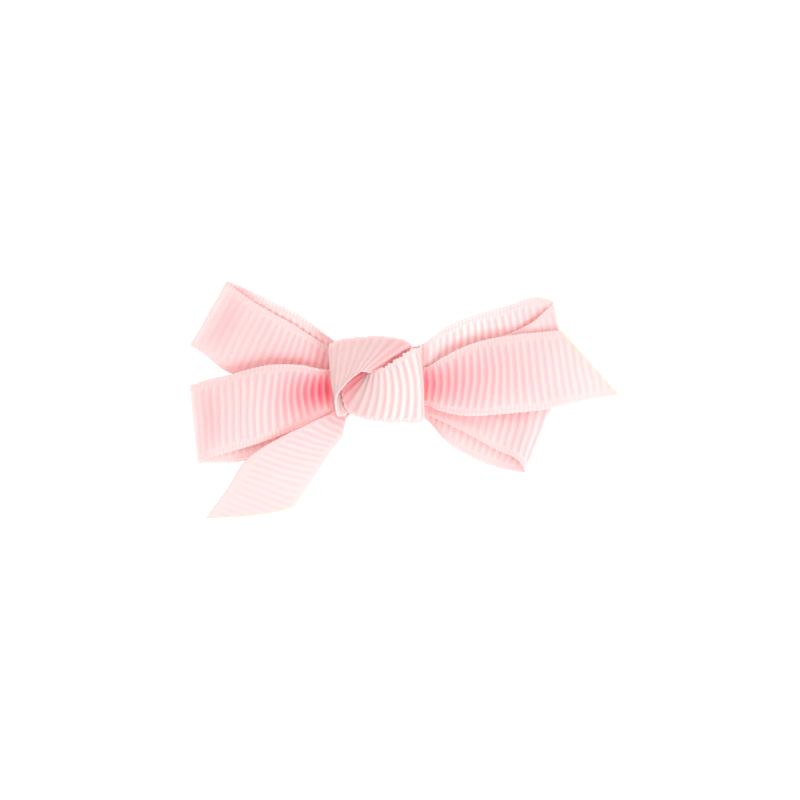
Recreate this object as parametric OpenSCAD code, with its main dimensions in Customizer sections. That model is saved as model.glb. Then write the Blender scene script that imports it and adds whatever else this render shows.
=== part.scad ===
// Knotted ribbon hair bow on a sprung clip, millimetres.
// +X is to the right of the bow's front, +Y is up it and +Z points out of the front.
// The origin is on the flat underside of the clip, straight below the middle of the knot.

/* [Ribbon] */
// Thickness of the woven ribbon
ribbon_t = 0.35; // [0.25:0.05:0.4]
// Facets across the ribbon's width
ribbon_facets = 6; // [4:1:8]
// Rings between one station of a ribbon and the next
ribbon_rings = 4; // [3:1:5]

/* [Thread] */
// Diameter of the thread that binds the waist
thread_d = 0.4; // [0.3:0.05:0.45]
// Turns of thread round the waist
thread_turns = 3; // [2:1:4]

/* [Clip] */
// Overall length of the clip
clip_len = 42; // [38:1:42]
// Distance from the knot's middle to the hinge
hinge_x = 12.5; // [12:0.5:13]
// Width of the arms at the hinge
arm_w = 7; // [6.5:0.5:7]
// Width of the arms at the tips
tip_w = 5; // [4:0.5:5.5]
// Thickness of the sheet steel
steel_t = 0.6; // [0.5:0.05:0.6]
// Clear height between the two arms
arm_gap = 5.4; // [5.2:0.1:5.6]
// Teeth along each edge of the lower jaw
teeth = 5; // [3:1:6]

/* [Hinge] */
// Radius of the hinge pin
pin_r = 0.8; // [0.7:0.05:0.85]
// Gap round the pin in its holes
pin_gap = 0.04; // [0.03:0.01:0.06]
// Diameter of the spring wire
wire_d = 0.55; // [0.45:0.05:0.55]
// Turns in the spring's coil
spring_turns = 4; // [3:1:4]

/* [Hidden] */
$fn = 48;

steel = [0.80, 0.81, 0.82];
satin_pink = [0.98, 0.82, 0.82];
knot_pink = [0.97, 0.87, 0.85];
milky = [0.93, 0.92, 0.90];
glue_cream = [0.95, 0.93, 0.86];

// Clip levels, from the table upwards
arm_z = steel_t + arm_gap;
arm_top = arm_z + steel_t;
tip_x = hinge_x + 12.5 - clip_len;
heel_x = hinge_x + 12.5;
pin_z = 3.3;
rise_x = -4;
jaw_tip_z = arm_z - 0.9;
ear_t = 0.5;
ear_gap = 0.2;
ear_r = 1.9;
outer_ear_y = arm_w / 2;
inner_ear_y = outer_ear_y - ear_t - ear_gap;
head_r = 1.3;
head_t = 0.45;
coil_r = pin_r + wire_d / 2 + 0.5;

// Levels of the soft parts on the arm
liner_t = 0.35;
liner_z = arm_top + 0.02;
glue_z = liner_z + liner_t + 0.02;
glue_top = 7.55;
overlap_z = arm_z - 0.28;
end_z = overlap_z - 0.7;

// A ribbon is a list of stations. Each gives the upper selvage, the lower selvage and
// how far the middle of the ribbon swells away from the straight line between them.
function station(upper, lower, swell = [0, 0, 0]) = concat(upper, lower, swell);

// Rear ribbon: out to the upper left fold, back across the waist to the lower right fold, and home
back_path = [
    station([0.9, 2.6, 7.75], [0.4, -2.9, 7.75]),
    station([-3.2, 3.4, 7.95], [-3.4, -2.0, 7.8]),
    station([-6.6, 5.6, 9.0], [-7.8, -1.7, 7.8], [0, 0, -0.2]),
    station([-11.1, 8.9, 10.4], [-13.5, -1.0, 7.9], [0, 0, -0.4]),
    station([-16.6, 11.65, 10.6], [-19.5, 1.4, 8.3], [0, 0, -0.3]),
    station([-20.3, 13.35, 9.8], [-25.1, 4.2, 8.7]),
    station([-21.5, 13.7, 10.0], [-26.7, 4.8, 9.2]),
    station([-20.4, 12.8, 10.4], [-25.5, 4.1, 9.7]),
    station([-17.2, 10.6, 10.9], [-22.0, 1.4, 9.7], [0, 0, 0.3]),
    station([-12.5, 7.9, 10.9], [-16.4, -1.0, 8.9], [0, 0, 0.2]),
    station([-9.0, 5.7, 10.0], [-10.8, -2.0, 8.45]),
    station([-5.6, 3.5, 8.9], [-6.4, -2.5, 8.4]),
    station([-2.0, 2.3, 8.4], [-2.4, -3.0, 8.4]),
    station([2.4, 1.8, 8.4], [2.0, -3.4, 8.4]),
    station([6.6, 0.7, 8.4], [6.2, -4.8, 8.6]),
    station([11.5, -0.5, 8.6], [10.5, -6.7, 9.6], [0, 0, 0.2]),
    station([17.5, -1.7, 9.2], [15.9, -9.6, 10.6], [0, 0, 0.3]),
    station([22.6, -3.1, 9.8], [19.9, -11.8, 10.5], [0, 0, 0.2]),
    station([24.5, -3.8, 9.3], [20.5, -13.2, 9.8]),
    station([23.2, -3.6, 8.7], [19.0, -13.0, 9.4]),
    station([17.0, -1.7, 8.2], [14.2, -11.6, 9.4]),
    station([11.0, -0.2, 7.9], [9.3, -8.6, 8.8], [0, 0, -0.2]),
    station([7.2, 0.8, 7.8], [7.0, -6.0, 7.9], [0, 0, -0.1]),
    station([3.6, 1.6, 7.75], [3.6, -3.6, 7.75]),
    station([1.7, 2.2, 7.75], [1.4, -3.1, 7.75]),
];

// Front ribbon: out to the left fold, back across the waist to the upper right fold, and home
front_path = [
    station([1.0, 2.4, 9.05], [0.6, -3.0, 9.05]),
    station([-3.4, 1.9, 9.05], [-3.0, -3.7, 9.05]),
    station([-7.0, 1.2, 9.5], [-6.2, -5.4, 9.0], [0, 0, -0.1]),
    station([-12.0, 0.4, 10.0], [-11.5, -8.6, 9.7]),
    station([-18.0, -0.8, 9.9], [-18.2, -11.3, 10.6], [0, 0, -0.3]),
    station([-25.3, -1.6, 9.9], [-24.3, -11.9, 10.2]),
    station([-26.6, -1.0, 10.3], [-25.5, -11.8, 10.5]),
    station([-25.6, -0.6, 10.8], [-24.7, -11.4, 10.9]),
    station([-21.3, 0.5, 11.3], [-21.0, -10.2, 11.3], [0, 0, 0.9]),
    station([-15.5, 1.9, 11.5], [-16.0, -8.7, 11.8], [-0.3, 0, 0.8]),
    station([-10.8, 1.9, 11.4], [-10.8, -6.7, 11.3], [-0.9, 0, -0.5]),
    station([-7.9, 1.3, 11.0], [-7.6, -5.0, 10.6], [-0.7, 0, -0.8]),
    station([-6.1, 1.3, 10.4], [-5.6, -4.2, 9.9], [0, 0, -0.2]),
    station([-2.0, 1.8, 9.7], [-2.0, -3.6, 9.7]),
    station([2.0, 2.2, 9.7], [2.0, -3.2, 9.7]),
    station([6.6, 2.4, 9.9], [6.6, -3.2, 9.9]),
    station([10.5, 3.6, 10.9], [10.6, -4.2, 10.4]),
    station([14.5, 5.2, 11.3], [15.2, -4.2, 10.7]),
    station([19.2, 6.7, 11.3], [20.6, -2.8, 10.8]),
    station([23.0, 9.2, 11.1], [25.2, 0.3, 10.4]),
    station([24.4, 10.9, 10.9], [26.4, 1.6, 9.9]),
    station([22.9, 11.4, 11.0], [25.0, 1.7, 9.4], [0, 0, -0.2]),
    station([18.0, 10.2, 11.7], [19.5, 0.6, 9.2], [0, 0, -0.2]),
    station([12.8, 8.7, 11.9], [13.5, -0.5, 9.3], [0, 0, -0.2]),
    station([9.2, 7.1, 11.6], [9.3, -1.6, 9.2], [0, 0, -0.2]),
    station([6.9, 5.35, 11.2], [7.0, -2.5, 9.15]),
    station([5.7, 4.6, 10.5], [5.3, -2.9, 9.1]),
    station([4.4, 3.2, 9.2], [3.6, -3.2, 9.05]),
    station([1.8, 2.4, 9.05], [1.6, -3.1, 9.05]),
];

// Front length: slanted end at the lower left, across the waist, slanted end at the right
tails_path = [
    station([-24.7, -19.6, 8.4], [-12.2, -18.2, 7.8]),
    station([-18.2, -11.0, 12.1], [-9.2, -13.8, 9.5], [0.2, -0.3, 0.3]),
    station([-13.9, -8.3, 12.7], [-6.9, -10.2, 10.8], [0.1, -0.2, 0.2]),
    station([-9.0, -5.9, 12.1], [-5.2, -8.0, 11.0]),
    station([-5.9, -4.3, 10.8], [-4.5, -5.5, 10.6]),
    station([-3.2, -1.2, 10.35], [-2.8, -4.3, 10.35]),
    station([-1.4, 0.4, 10.35], [-1.3, -3.1, 10.35]),
    station([0.6, 1.4, 10.35], [0.6, -3.0, 10.35]),
    station([4.0, 1.6, 10.35], [4.0, -3.4, 10.35]),
    station([6.6, 1.7, 10.6], [6.6, -3.6, 10.6], [0, 0, -0.1]),
    station([8.8, 2.9, 11.6], [8.6, -4.4, 11.5], [0.5, 0, -0.6]),
    station([12.2, 4.6, 12.1], [11.6, -5.1, 11.9], [0.5, 0, -0.3]),
    station([17.0, 5.9, 12.1], [17.3, -4.9, 11.8], [0.3, 0, 0.5]),
    station([22.0, 6.5, 11.8], [23.4, -4.2, 11.3], [0, 0, 0.6]),
    station([25.6, 6.6, 11.5], [34.0, -2.2, 9.4]),
];

// Knot: from under the clip's arm, up over the waist, through one overhand turn and back under the arm
knot_path = [
    station([3.2, -2.2, overlap_z], [-3.2, -2.2, overlap_z]),
    station([3.2, 2.2, overlap_z], [-3.2, 2.2, overlap_z]),
    station([3.2, 3.3, overlap_z], [-3.2, 3.3, overlap_z]),
    station([3.3, 4.3, 6.1], [-3.3, 4.3, 6.1]),
    station([3.3, 4.7, 7.4], [-3.3, 4.7, 7.4]),
    station([3.3, 4.7, 10.6], [-3.3, 4.7, 10.6]),
    station([3.2, 4.5, 11.6], [-3.6, 4.6, 11.6]),
    station([2.0, 3.4, 12.1], [-5.2, 3.4, 12.1]),
    station([0.0, 2.2, 12.1], [-5.4, -0.4, 12.1]),
    station([-1.3, 1.1, 12.5], [-4.4, -4.4, 12.3]),
    station([0.4, 1.5, 13.4], [-0.4, -5.9, 12.8], [0.5, 0, 0.2]),
    station([2.9, 2.95, 13.75], [3.4, -6.1, 12.7], [0.7, 0, 0.4]),
    station([4.8, 4.1, 13.2], [5.8, -6.1, 12.6], [0.4, 0, 0.2]),
    station([5.5, 4.3, 12.5], [6.4, -6.0, 12.0], [0.1, 0, 0]),
    station([5.9, 4.5, 11.9], [6.3, -5.8, 11.5]),
    station([5.2, 4.6, 11.4], [5.2, -5.3, 11.35]),
    station([0.0, 4.0, 11.3], [0.0, -4.6, 11.3]),
    station([-5.0, 4.4, 11.35], [-4.0, -4.6, 11.35]),
    station([-6.4, 4.6, 11.6], [-5.0, -5.0, 11.6]),
    station([-6.9, 4.7, 12.3], [-5.5, -5.3, 12.2], [-0.25, 0, 0]),
    station([-5.7, 5.4, 12.6], [-6.05, -3.3, 13.0], [-0.2, 0, 0.2]),
    station([-2.5, 5.8, 12.9], [-5.0, -1.2, 13.7], [0, 0, 0.3]),
    station([1.2, 5.8, 13.0], [-2.9, 0.7, 14.0], [0, 0, 0.35]),
    station([4.3, 5.0, 13.2], [-1.8, 1.1, 13.7], [0, 0, 0.1]),
    station([4.9, 4.2, 13.0], [-1.3, 0.95, 13.1]),
    station([4.9, 3.2, 12.5], [-0.8, 0.4, 12.5]),
    station([3.8, -2.4, 12.4], [-2.6, -3.2, 12.4]),
    station([3.3, -4.7, 11.8], [-3.2, -4.8, 11.7]),
    station([3.3, -5.0, 10.4], [-3.3, -5.0, 10.4]),
    station([3.3, -5.0, 6.6], [-3.3, -5.0, 6.6]),
    station([3.3, -4.5, end_z + 0.35], [-3.3, -4.5, end_z + 0.35]),
    station([3.2, -3.4, end_z], [-3.2, -3.4, end_z]),
    station([3.2, -2.2, end_z], [-3.2, -2.2, end_z]),
    station([3.2, 2.2, end_z], [-3.2, 2.2, end_z]),
];

// Smooth curve through the stations of a path: slope at each one, then a cubic between two
function gap(path, i) = norm(path[i + 1] - path[i]);
function slope(path, i) =
    i == 0 ? (path[1] - path[0]) / gap(path, 0) :
    i == len(path) - 1 ? (path[i] - path[i - 1]) / gap(path, i - 1) :
    let (before = gap(path, i - 1), after = gap(path, i))
    ((path[i + 1] - path[i]) * before / after + (path[i] - path[i - 1]) * after / before)
        / (before + after);
function between(path, i, t) =
    let (h = gap(path, i))
    path[i] * (2 * t * t * t - 3 * t * t + 1) + slope(path, i) * h * (t * t * t - 2 * t * t + t)
        + path[i + 1] * (3 * t * t - 2 * t * t * t) + slope(path, i + 1) * h * (t * t * t - t * t);
function rings(path, steps) = concat(
    [for (i = [0:len(path) - 2], k = [0:steps - 1]) between(path, i, k / steps)],
    [path[len(path) - 1]]);

function across(ring, s) =
    [ring[0], ring[1], ring[2]] * (1 - s) + [ring[3], ring[4], ring[5]] * s
        + 4 * s * (1 - s) * [ring[6], ring[7], ring[8]];
function unit(v) = v / norm(v);

// Direction square to the ribbon at point j of ring i
function facing(grid, i, j) =
    let (
        last_i = len(grid) - 1,
        last_j = len(grid[0]) - 1,
        along = grid[min(i + 1, last_i)][j] - grid[max(i - 1, 0)][j],
        over = grid[i][min(j + 1, last_j)] - grid[i][max(j - 1, 0)])
    unit(cross(along, over));

// A closed strip of even thickness that follows a path
module ribbon(path, steps = ribbon_rings, thickness = ribbon_t) {
    centre = [for (ring = rings(path, steps)) [for (j = [0:ribbon_facets]) across(ring, j / ribbon_facets)]];
    n = len(centre);
    m = ribbon_facets + 1;
    inner = [for (i = [0:n - 1], j = [0:m - 1]) centre[i][j] + facing(centre, i, j) * thickness / 2];
    outer = [for (i = [0:n - 1], j = [0:m - 1]) centre[i][j] - facing(centre, i, j) * thickness / 2];
    rear = n * m;
    faces = concat(
        [for (i = [0:n - 2], j = [0:m - 2])
            let (near = i * m + j, far = near + m)
            each quad(near, near + 1, far + 1, far)],
        [for (i = [0:n - 2], j = [0:m - 2])
            let (near = rear + i * m + j, far = near + m)
            each quad(far, far + 1, near + 1, near)],
        [for (i = [0:n - 2]) each quad(rear + i * m, i * m, (i + 1) * m, rear + (i + 1) * m)],
        [for (i = [0:n - 2])
            let (near = i * m + m - 1, far = near + m)
            each quad(near, rear + near, rear + far, far)],
        [for (j = [0:m - 2]) each quad(rear + j, rear + j + 1, j + 1, j)],
        [for (j = [0:m - 2])
            let (end = (n - 1) * m + j)
            each quad(end, end + 1, rear + end + 1, rear + end)]);
    polyhedron(points = concat(inner, outer), faces = faces);
}

function quad(a, b, c, d) = [[a, b, c], [a, c, d]];

// A round wire that follows a list of points, with flat ends
module wire(points, diameter, sides = 8) {
    n = len(points);
    skin = [for (i = [0:n - 1], k = [0:sides - 1])
        let (
            along = unit(points[min(i + 1, n - 1)] - points[max(i - 1, 0)]),
            level = unit(cross(along, abs(along[1]) > 0.9 ? [1, 0, 0] : [0, 1, 0])),
            upright = cross(along, level),
            turn = 360 * k / sides)
        points[i] + (level * cos(turn) + upright * sin(turn)) * diameter / 2];
    faces = concat(
        [for (i = [0:n - 2], k = [0:sides - 1])
            let (next = (k + 1) % sides)
            each quad((i + 1) * sides + k, (i + 1) * sides + next, i * sides + next, i * sides + k)],
        [[for (k = [0:sides - 1]) k]],
        [[for (k = [sides - 1:-1:0]) (n - 1) * sides + k]]);
    polyhedron(points = skin, faces = faces);
}

module back_loops() {
    color(satin_pink) ribbon(back_path);
}

module front_loops() {
    color(satin_pink) ribbon(front_path);
}

module tails() {
    color(satin_pink) ribbon(tails_path);
}

module knot() {
    color(knot_pink) ribbon(knot_path);
}

// Plan outline of an arm, narrow at the tip and round at the heel
module arm_outline(end_x, width = arm_w) {
    hull() {
        translate([tip_x + tip_w / 2, 0]) circle(d = tip_w - (arm_w - width));
        translate([end_x - width / 2, 0]) circle(d = width);
    }
}

// Side outline of the lower jaw: flat on the table, then up to the tip
module jaw_side() {
    polygon([
        [heel_x, 0], [rise_x, 0], [tip_x, jaw_tip_z - steel_t],
        [tip_x, jaw_tip_z], [rise_x + 0.1, steel_t], [heel_x, steel_t],
    ]);
}

// One ear that carries the pin, standing square to the arm from level low to level high
module ear(y, low, high) {
    foot = high > pin_z + ear_r ? high : low;
    translate([0, y + ear_t / 2, 0]) rotate([90, 0, 0]) linear_extrude(ear_t) difference() {
        union() {
            translate([hinge_x, pin_z]) circle(r = ear_r);
            translate([hinge_x - ear_r, min(foot, pin_z)]) square([2 * ear_r, abs(foot - pin_z)]);
        }
        translate([hinge_x, pin_z]) circle(r = pin_r + pin_gap);
    }
}

module lower_jaw() {
    tooth_run = 1.1;
    first_tooth = 1.6;
    tooth_y = tip_w / 2 - 0.9;
    slant = atan2(jaw_tip_z - steel_t, rise_x - tip_x);
    color(steel) union() {
        intersection() {
            translate([0, arm_w / 2, 0]) rotate([90, 0, 0]) linear_extrude(arm_w) jaw_side();
            linear_extrude(arm_z) arm_outline(heel_x, arm_w - 0.6);
        }
        for (side = [-1, 1]) {
            ear(side * (inner_ear_y - ear_t / 2), steel_t / 2, pin_z);
            for (i = [0:teeth - 1])
                let (run = first_tooth + i * tooth_run)
                translate([tip_x + run, side * tooth_y, jaw_tip_z - 0.15 - run * tan(slant)])
                    rotate([90, 0, 0]) linear_extrude(steel_t, center = true)
                        polygon([[0, 0], [tooth_run, -0.4], [0.3, 0.5]]);
        }
    }
}

module hinge_pin() {
    half = outer_ear_y + 0.12;
    color(steel) translate([hinge_x, 0, pin_z]) rotate([90, 0, 0]) union() {
        cylinder(r = pin_r, h = 2 * (half + head_t), center = true);
        for (side = [-1, 1])
            translate([0, 0, side * (half + head_t / 2)]) cylinder(r = head_r, h = head_t, center = true);
    }
}

// The coil turns round the pin and its lower leg lies on the lower handle
module spring_coil() {
    pitch = wire_d + 0.12;
    half = spring_turns * pitch / 2;
    leg_z = steel_t + wire_d / 2 + 0.05;
    start = -90;
    coil = [for (a = [0:22.5:360 * spring_turns])
        [hinge_x + coil_r * cos(start + a), -half + pitch * a / 360, pin_z + coil_r * sin(start + a)]];
    leg = [[heel_x - 3, -half, leg_z], [hinge_x + 3.2, -half, leg_z], [hinge_x + 1.6, -half, leg_z + 0.2]];
    color(steel) wire(concat(leg, coil), wire_d);
}

// The spring's other leg presses the upper handle away
module spring_upper_leg() {
    half = spring_turns * (wire_d + 0.12) / 2;
    y = half + wire_d + 0.05;
    leg_z = arm_z - wire_d / 2 - 0.03;
    color(steel) wire([
        [hinge_x - 1.2, y, pin_z + coil_r * 0.75], [hinge_x, y, pin_z + coil_r],
        [hinge_x + 1.2, y, leg_z - 0.35], [hinge_x + 2.4, y, leg_z], [heel_x - 3, y, leg_z],
    ], wire_d);
}

module upper_arm() {
    lip = 0.8;
    color(steel) union() {
        translate([0, 0, arm_z]) linear_extrude(steel_t) arm_outline(heel_x);
        intersection() {
            translate([tip_x, -arm_w / 2, arm_z - lip]) cube([steel_t, arm_w, lip + 0.1]);
            translate([0, 0, arm_z - lip]) linear_extrude(lip + 0.1) arm_outline(heel_x);
        }
        for (side = [-1, 1])
            ear(side * (outer_ear_y - ear_t / 2), pin_z, arm_z + steel_t / 2);
    }
}

module clip_liner() {
    inset = 0.4;
    color(satin_pink) translate([0, 0, liner_z]) linear_extrude(liner_t)
        offset(delta = -inset) arm_outline(heel_x);
}

module grip_pad() {
    pad = [9, tip_w - 1.6, 0.5];
    color(milky) translate([tip_x + 1.8, -pad[1] / 2, arm_z - pad[2] - 0.02]) union() {
        cube(pad);
        for (i = [0:5])
            translate([1 + i * 1.4, 0, 0.05]) rotate([-90, 0, 0]) cylinder(d = 0.5, h = pad[1], $fn = 16);
    }
}

// Glue on one side of the thread, between the liner and the rear ribbon
module glue_pad(side) {
    color(glue_cream) translate([side * 3.1, 0, glue_z]) linear_extrude(glue_top - glue_z)
        offset(r = 0.6) square([1.6, 2.8], center = true);
}

module left_glue_pad() {
    glue_pad(-1);
}

module right_glue_pad() {
    glue_pad(1);
}

// Turns of thread round all the ribbon layers, drawn in to a flat oval
module binding_thread() {
    pitch = 0.55;
    half_y = 4.05;
    half_z = 1.76;
    mid_z = 9.06;
    flat = 0.4;
    function squarish(v) = sign(v) * pow(abs(v), flat);
    color(knot_pink) wire([for (a = [0:15:360 * thread_turns])
        [pitch * (a / 360 - thread_turns / 2), half_y * squarish(cos(a)), mid_z + half_z * squarish(sin(a))]],
        thread_d);
}

module knot_glue() {
    clear = ribbon_t / 2 + 0.02;
    color(glue_cream) translate([0, 0, end_z + clear])
        linear_extrude(overlap_z - end_z - 2 * clear) offset(r = 0.5) square([4.4, 2.4], center = true);
}

lower_jaw();
hinge_pin();
spring_coil();
spring_upper_leg();
upper_arm();
clip_liner();
grip_pad();
left_glue_pad();
right_glue_pad();
back_loops();
front_loops();
tails();
binding_thread();
knot();
knot_glue();
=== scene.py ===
import math
import random
import bmesh
import bpy
import numpy as np
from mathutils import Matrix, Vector


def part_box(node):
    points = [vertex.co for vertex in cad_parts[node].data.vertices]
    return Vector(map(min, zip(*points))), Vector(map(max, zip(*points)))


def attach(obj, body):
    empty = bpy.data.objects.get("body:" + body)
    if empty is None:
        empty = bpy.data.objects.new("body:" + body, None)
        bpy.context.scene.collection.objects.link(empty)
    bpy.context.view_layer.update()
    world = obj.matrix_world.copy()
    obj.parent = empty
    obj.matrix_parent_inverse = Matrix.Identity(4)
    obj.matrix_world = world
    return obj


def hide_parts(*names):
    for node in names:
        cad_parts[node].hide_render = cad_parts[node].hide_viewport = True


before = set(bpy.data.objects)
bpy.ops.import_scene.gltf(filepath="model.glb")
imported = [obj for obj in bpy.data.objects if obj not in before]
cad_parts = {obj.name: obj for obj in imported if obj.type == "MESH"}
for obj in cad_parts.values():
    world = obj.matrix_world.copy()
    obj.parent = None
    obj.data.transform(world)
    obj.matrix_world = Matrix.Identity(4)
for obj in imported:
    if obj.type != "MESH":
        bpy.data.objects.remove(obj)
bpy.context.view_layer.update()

# Hair bow of ribbed ribbon, lying on its clip with the front facing up.
# Paths are in millimetres in the model's own axes, and meshes are made in metres.
mm = 0.001

# What every ribbon is woven like, unless its own dictionary says otherwise
weave = {
    "width": 10.0,            # cut width of the ribbon
    "thickness": 0.22,        # between the grooves of its two faces
    "ribPitch": 1.07,         # from one cross rib to the next
    "ribHeight": 0.135,       # of a rib above its groove, on each face
    "ribVariety": 0.2,        # share by which one rib is higher or lower than another
    "rowsPerRib": 9,          # mesh rows from one rib to the next
    "wander": 0.10,           # how far a rib strays from straight
    "rumple": 0.05,           # slow unevenness of the whole face
    "ironed": 0.85,           # share of a rib's height that full pressing takes away
    "selvage": 1.0,           # width of the flat woven edge
    "selvageVariety": 0.12,   # share by which that width changes from rib to rib
    "stitchHeight": 0.09,     # of the weft turns in the selvage, on each face
    "edgeThickness": 0.5,     # share of the thickness that is left at the very edge
    "edgeTaper": 0.3,         # how far in from the edge it reaches its full thickness
    "picot": 0.09,            # how far the weft turns stand out of the edge
    "fray": 0.0,              # how far the edge strays besides
    "sealLength": 0.6,        # of the rim that heat has sealed at a cut end
    "sealThinning": 0.3,      # share of the thickness lost there
    "sealBead": 0.03,         # melted on each face there
    "paintedShadeReach": 0.46,       # share of the width, each way, that the painted shade of a closed fold reaches
    "paleEdge": 0.0,          # how pale the very edge is
}


# The swell moves the middle of the ribbon away from the straight line between its edges.
# Above zero, painted shade reddens a closed fold; below zero, painted light pales the crests. Pressed
# flattens the ribs.
def station(upper, lower, swell=(0, 0, 0), paintedShade=0.0, pressed=0.0):
    return np.array([*upper, *lower, *swell, paintedShade, pressed], dtype=float)


paintedShadeColumn, pressedColumn = 9, 10


# Fine table along a path: a slope at each station, then a cubic between two of them
def smoothTable(path, perSpan=48):
    gaps = [np.linalg.norm(b[:6] - a[:6]) for a, b in zip(path, path[1:])]
    slopes = [(path[1] - path[0]) / gaps[0]]
    for i in range(1, len(path) - 1):
        before, after = gaps[i - 1], gaps[i]
        slopes.append(((path[i + 1] - path[i]) * before / after + (path[i] - path[i - 1]) * after / before)
                      / (before + after))
    slopes.append((path[-1] - path[-2]) / gaps[-1])
    rows = []
    for i, gap in enumerate(gaps):
        for t in np.arange(perSpan) / perSpan:
            rows.append(path[i] * (2 * t**3 - 3 * t**2 + 1) + slopes[i] * gap * (t**3 - 2 * t**2 + t)
                        + path[i + 1] * (3 * t**2 - 2 * t**3) + slopes[i + 1] * gap * (t**3 - t**2))
    rows.append(path[-1])
    return np.array(rows)


class Strip:
    # Middle surface of a ribbon: along is in millimetres from its start, side goes 0 to 1 from edge to edge
    def __init__(self, path):
        self.table = smoothTable(path)
        middle = (self.table[:, 0:3] + self.table[:, 3:6]) / 2 + self.table[:, 6:9]
        steps = np.linalg.norm(np.diff(middle, axis=0), axis=1)
        self.along = np.concatenate([[0], np.cumsum(steps)])
        self.length = float(self.along[-1])

    def value(self, along, column):
        return np.interp(along, self.along, self.table[:, column])

    def point(self, along, side):
        row = np.stack([self.value(along, k) for k in range(9)], axis=-1)
        side = np.asarray(side)[..., None]
        return row[..., 0:3] * (1 - side) + row[..., 3:6] * side + row[..., 6:9] * 4 * side * (1 - side)

    # Unit direction square to the surface, from two points along it and two across it
    def normal(self, along, side, reach=0.25, spread=0.03):
        forward = self.point(along + reach, side) - self.point(along - reach, side)
        across = self.point(along, side + spread) - self.point(along, side - spread)
        square = np.cross(forward, across)
        return square / np.maximum(np.linalg.norm(square, axis=-1, keepdims=True), 1e-9)

    # Where along the ribbon one of its edges passes closest to a place seen from the front
    def alongAt(self, side, x, y):
        spots = self.point(self.along, np.full(len(self.along), float(side)))
        return float(self.along[np.argmin((spots[:, 0] - x) ** 2 + (spots[:, 1] - y) ** 2)])


# Slow smooth unevenness from a few seeded waves, between about -1 and 1
def drift(x, y, scale, seed, waves=7):
    rng = random.Random(seed)
    total = np.zeros(np.broadcast(x, y).shape)
    for _ in range(waves):
        turn = rng.uniform(0, math.tau)
        pace = rng.uniform(0.6, 1.7) * math.tau / scale
        total += np.sin(pace * (x * math.cos(turn) + y * math.sin(turn)) + rng.uniform(0, math.tau))
    return total / math.sqrt(waves * 2)


def smoothstep(x, low, high):
    t = np.clip((x - low) / (high - low), 0, 1)
    return t * t * (3 - 2 * t)


# Flat cut piece in millimetres: a grid along and across, with each slanted cut taken off
def flatPiece(length, width, cuts):
    step = weave["ribPitch"] / weave["rowsPerRib"]
    rows = np.linspace(0, length, max(2, round(length / step)) + 1)
    edge = np.array([0, 0.1, 0.25, 0.45, 0.7, 0.95])    # columns crowd together towards the edges
    inner = np.linspace(1.2, width - 1.2, max(8, round(width * 2.4)))
    columns = np.concatenate([edge, inner, width - edge[::-1]])
    mesh = bmesh.new()
    grid = [[mesh.verts.new((x, y, 0)) for y in columns] for x in rows]
    for near, far in zip(grid, grid[1:]):
        for j in range(len(columns) - 1):
            mesh.faces.new((near[j], far[j], far[j + 1], near[j + 1]))
    for spot, outward in cuts:
        everything = mesh.verts[:] + mesh.edges[:] + mesh.faces[:]
        bmesh.ops.bisect_plane(mesh, geom=everything, dist=1e-4, plane_co=(*spot, 0), plane_no=(*outward, 0),
                               clear_outer=True)
    mesh.verts.index_update()
    spots = np.array([v.co[:2] for v in mesh.verts])
    faces = [[v.index for v in f.verts] for f in mesh.faces]
    rim = []
    for line in mesh.edges:
        if len(line.link_loops) == 1:
            loop = line.link_loops[0]
            rim.append((loop.vert.index, loop.link_loop_next.vert.index))
    area = sum(f.calc_area() for f in mesh.faces)
    mesh.free()
    return spots, faces, rim, area


def addAttribute(mesh, name, values):
    layer = mesh.attributes.new(name, "FLOAT", "POINT")
    layer.data.foreach_set("value", np.asarray(values, dtype=np.float32))


def linkPiece(name, mesh, material):
    mesh.polygons.foreach_set("use_smooth", [True] * len(mesh.polygons))
    mesh.materials.append(material)
    piece = bpy.data.objects.new(name, mesh)
    bpy.context.collection.objects.link(piece)
    return piece


# Distance to the nearest end or slanted cut
def distanceToEnd(along, across, length, cuts):
    fromEnd = np.minimum(along, length - along)
    for spot, outward in cuts:
        slant = -((along - spot[0]) * outward[0] + (across - spot[1]) * outward[1]) / math.hypot(*outward)
        fromEnd = np.minimum(fromEnd, slant)
    return fromEnd


# The weave at each point: how high on a rib, that rib's size, how far inside the selvages,
# and the turns and rows of stitches that the weft makes in them
def weavePattern(cloth, along, across, inFrom):
    seed = cloth["seed"]
    phase = (along + cloth["wander"] * drift(along, across, 9, seed)) / cloth["ribPitch"]
    wave = np.abs(np.sin(np.pi * phase)) ** 0.9    # round ribs with narrow grooves between them
    ribNumber = np.floor(phase)
    ribSize = 1 + cloth["ribVariety"] * np.sin(ribNumber * 12.9898 + seed)
    ragged = cloth["selvage"] * (1 + cloth["selvageVariety"] * np.sin(ribNumber * 7.31 + seed))
    body = smoothstep(inFrom, 0.75 * ragged, 1.2 * ragged)
    outOfStep = 1.3 * np.sign(across - cloth["width"] / 2)    # one edge turns before the other
    turns = np.abs(np.sin(2 * np.pi * phase + outOfStep))
    stitches = turns * (0.2 + 0.8 * np.abs(np.cos(np.pi * inFrom / ragged)))
    return wave, ribSize, body, turns, stitches


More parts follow.
